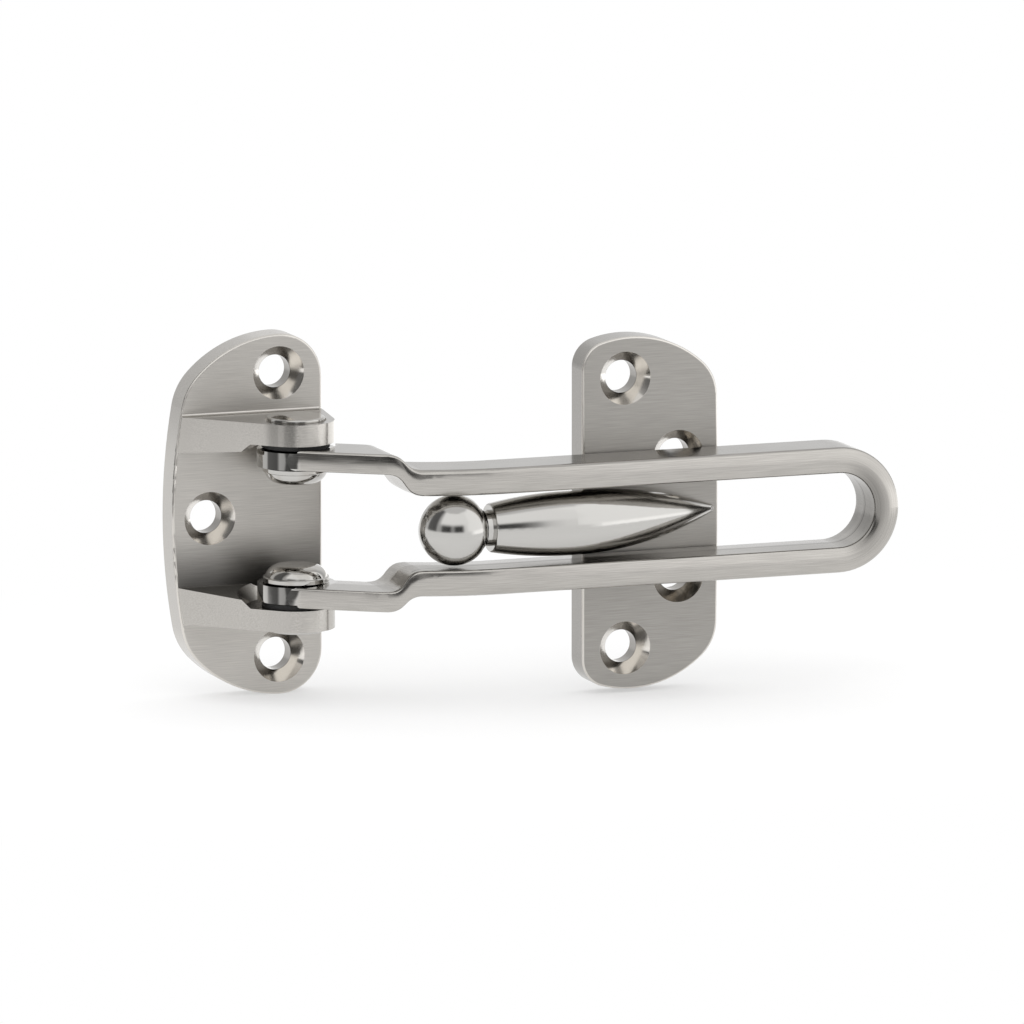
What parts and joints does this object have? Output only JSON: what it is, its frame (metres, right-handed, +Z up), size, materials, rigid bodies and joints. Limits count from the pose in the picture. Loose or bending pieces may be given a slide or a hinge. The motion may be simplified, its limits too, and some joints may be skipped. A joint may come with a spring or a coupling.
{
  "type": "swing bar door guard",
  "caption": "Swing bar door guard: a looped bar, hinged on one screwed-on plate, swings over the ball-ended arm of a keeper plate so that the door opens only a little way.",
  "frame": {"origin": "middle of the hinge plate's back face", "axes": "+X runs along the bar towards the keeper, +Y runs into the wall, +Z is up along the hinge pin"},
  "size_m": [0.1373, 0.0413, 0.0704],
  "materials": {
    "satin_nickel": "satin nickel plate, brushed across the faces, polished on the keeper's arm",
    "brushed_bar": "satin nickel plate, brushed along the bar",
    "polished_steel": "polished",
    "black_plastic": "plain black"
  },
  "bodies": {
    "plates": {"hinge_plate": "satin_nickel", "keeper": "satin_nickel", "upper_rivet": "polished_steel", "lower_rivet": "polished_steel", "upper_washer": "black_plastic", "lower_washer": "black_plastic"},
    "bar": {"swing_bar": "brushed_bar"}
  },
  "joints": [
    {"name": "bar_swing", "type": "hinge", "parent": "plates", "child": "bar", "pos_m": [0.00615, -0.0166, 0], "axis": [0, 0, -1], "range_deg": [0, 92]}
  ]
}
